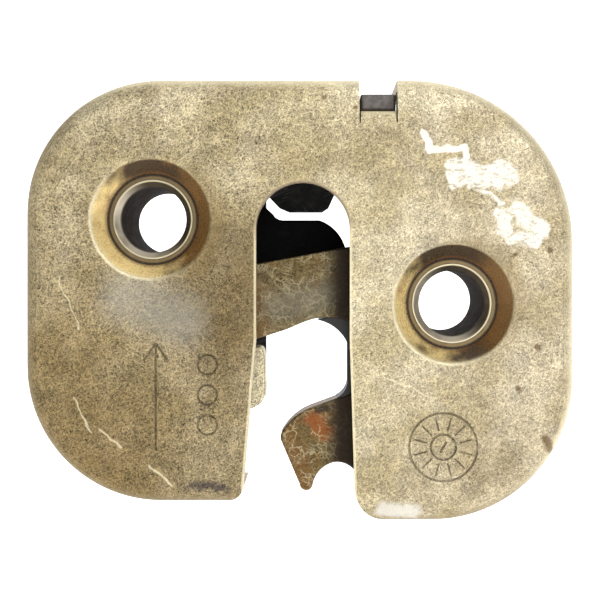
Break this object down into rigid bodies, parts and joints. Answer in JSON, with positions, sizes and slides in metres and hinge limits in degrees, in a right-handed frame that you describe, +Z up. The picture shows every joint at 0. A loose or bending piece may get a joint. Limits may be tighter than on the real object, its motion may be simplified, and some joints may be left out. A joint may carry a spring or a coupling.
{
  "type": "rotary claw door latch",
  "caption": "Rotary-claw vehicle door latch: pressed face plate with a striker slot, forked claw, pawl, release and locking levers and their springs.",
  "frame": {"origin": "midway between the axes of the two screw bores, in the plane of the front face", "axes": "+X across the latch to the right seen from the front, +Z up towards the closed end of the striker slot, +Y from the front face to the rear"},
  "size_m": [0.0771, 0.0237, 0.0621],
  "materials": {
    "yellow_zinc_cover": "yellow passivated zinc plate, worn and scratched",
    "yellow_zinc_claw": "yellow passivated zinc plate, stained brown",
    "yellow_zinc_lever": "yellow passivated zinc plate",
    "black_phosphate": "black phosphated steel, matt",
    "dark_steel": "turned steel, dull and oily",
    "plain_steel": "bright zinc plated",
    "spring_steel": "drawn spring wire",
    "black_plastic": "moulded, matt",
    "black_rubber": "moulded rubber, satin",
    "clip_plastic": "moulded natural acetal"
  },
  "bodies": {
    "case": {"front_cover": "yellow_zinc_cover", "rear_plate": "black_phosphate", "claw_bush": "dark_steel", "pawl_bush": "dark_steel", "claw_washer": "dark_steel", "pawl_washer": "dark_steel", "buffer": "black_rubber", "stop_spacer": "plain_steel", "pawl_spring_post": "plain_steel", "claw_spring_post": "plain_steel", "release_rivet": "plain_steel", "lock_rivet": "plain_steel", "lever_washers": "plain_steel", "lever_spring_posts": "plain_steel", "pawl_spring": "spring_steel", "claw_spring": "spring_steel", "release_spring": "spring_steel", "lock_spring": "spring_steel"},
    "claw": {"claw": "yellow_zinc_claw", "claw_sleeve": "black_plastic"},
    "pawl": {"pawl": "yellow_zinc_claw", "pawl_pin": "plain_steel"},
    "release_lever": {"release_lever": "black_phosphate", "release_rod_clip": "clip_plastic"},
    "lock_lever": {"lock_lever": "yellow_zinc_lever", "lock_rod_clip": "clip_plastic"}
  },
  "joints": [
    {"name": "claw_turn", "type": "hinge", "parent": "case", "child": "claw", "pos_m": [0.02118, 0.0066, -0.00595], "axis": [0, -1, 0], "range_deg": [0, 34], "deforming": ["claw_spring"]},
    {"name": "pawl_turn", "type": "hinge", "parent": "case", "child": "pawl", "pos_m": [-0.02118, 0.0066, 0.00595], "axis": [0, -1, 0], "range_deg": [-25.51, 0], "deforming": ["pawl_spring"]},
    {"name": "release_turn", "type": "hinge", "parent": "case", "child": "release_lever", "pos_m": [-0.0322, 0.018, -0.02033], "axis": [0, -1, 0], "range_deg": [0, 19.21], "deforming": ["release_spring"]},
    {"name": "lock_turn", "type": "hinge", "parent": "case", "child": "lock_lever", "pos_m": [0.004, 0.018, 0.0175], "axis": [0, -1, 0], "range_deg": [0, 25], "deforming": ["lock_spring"]}
  ],
  "couplings": [
    {"joint": "pawl_turn", "follows": "claw_turn", "ratio": -0.75},
    {"joint": "release_turn", "follows": "claw_turn", "ratio": 0.56478}
  ]
}
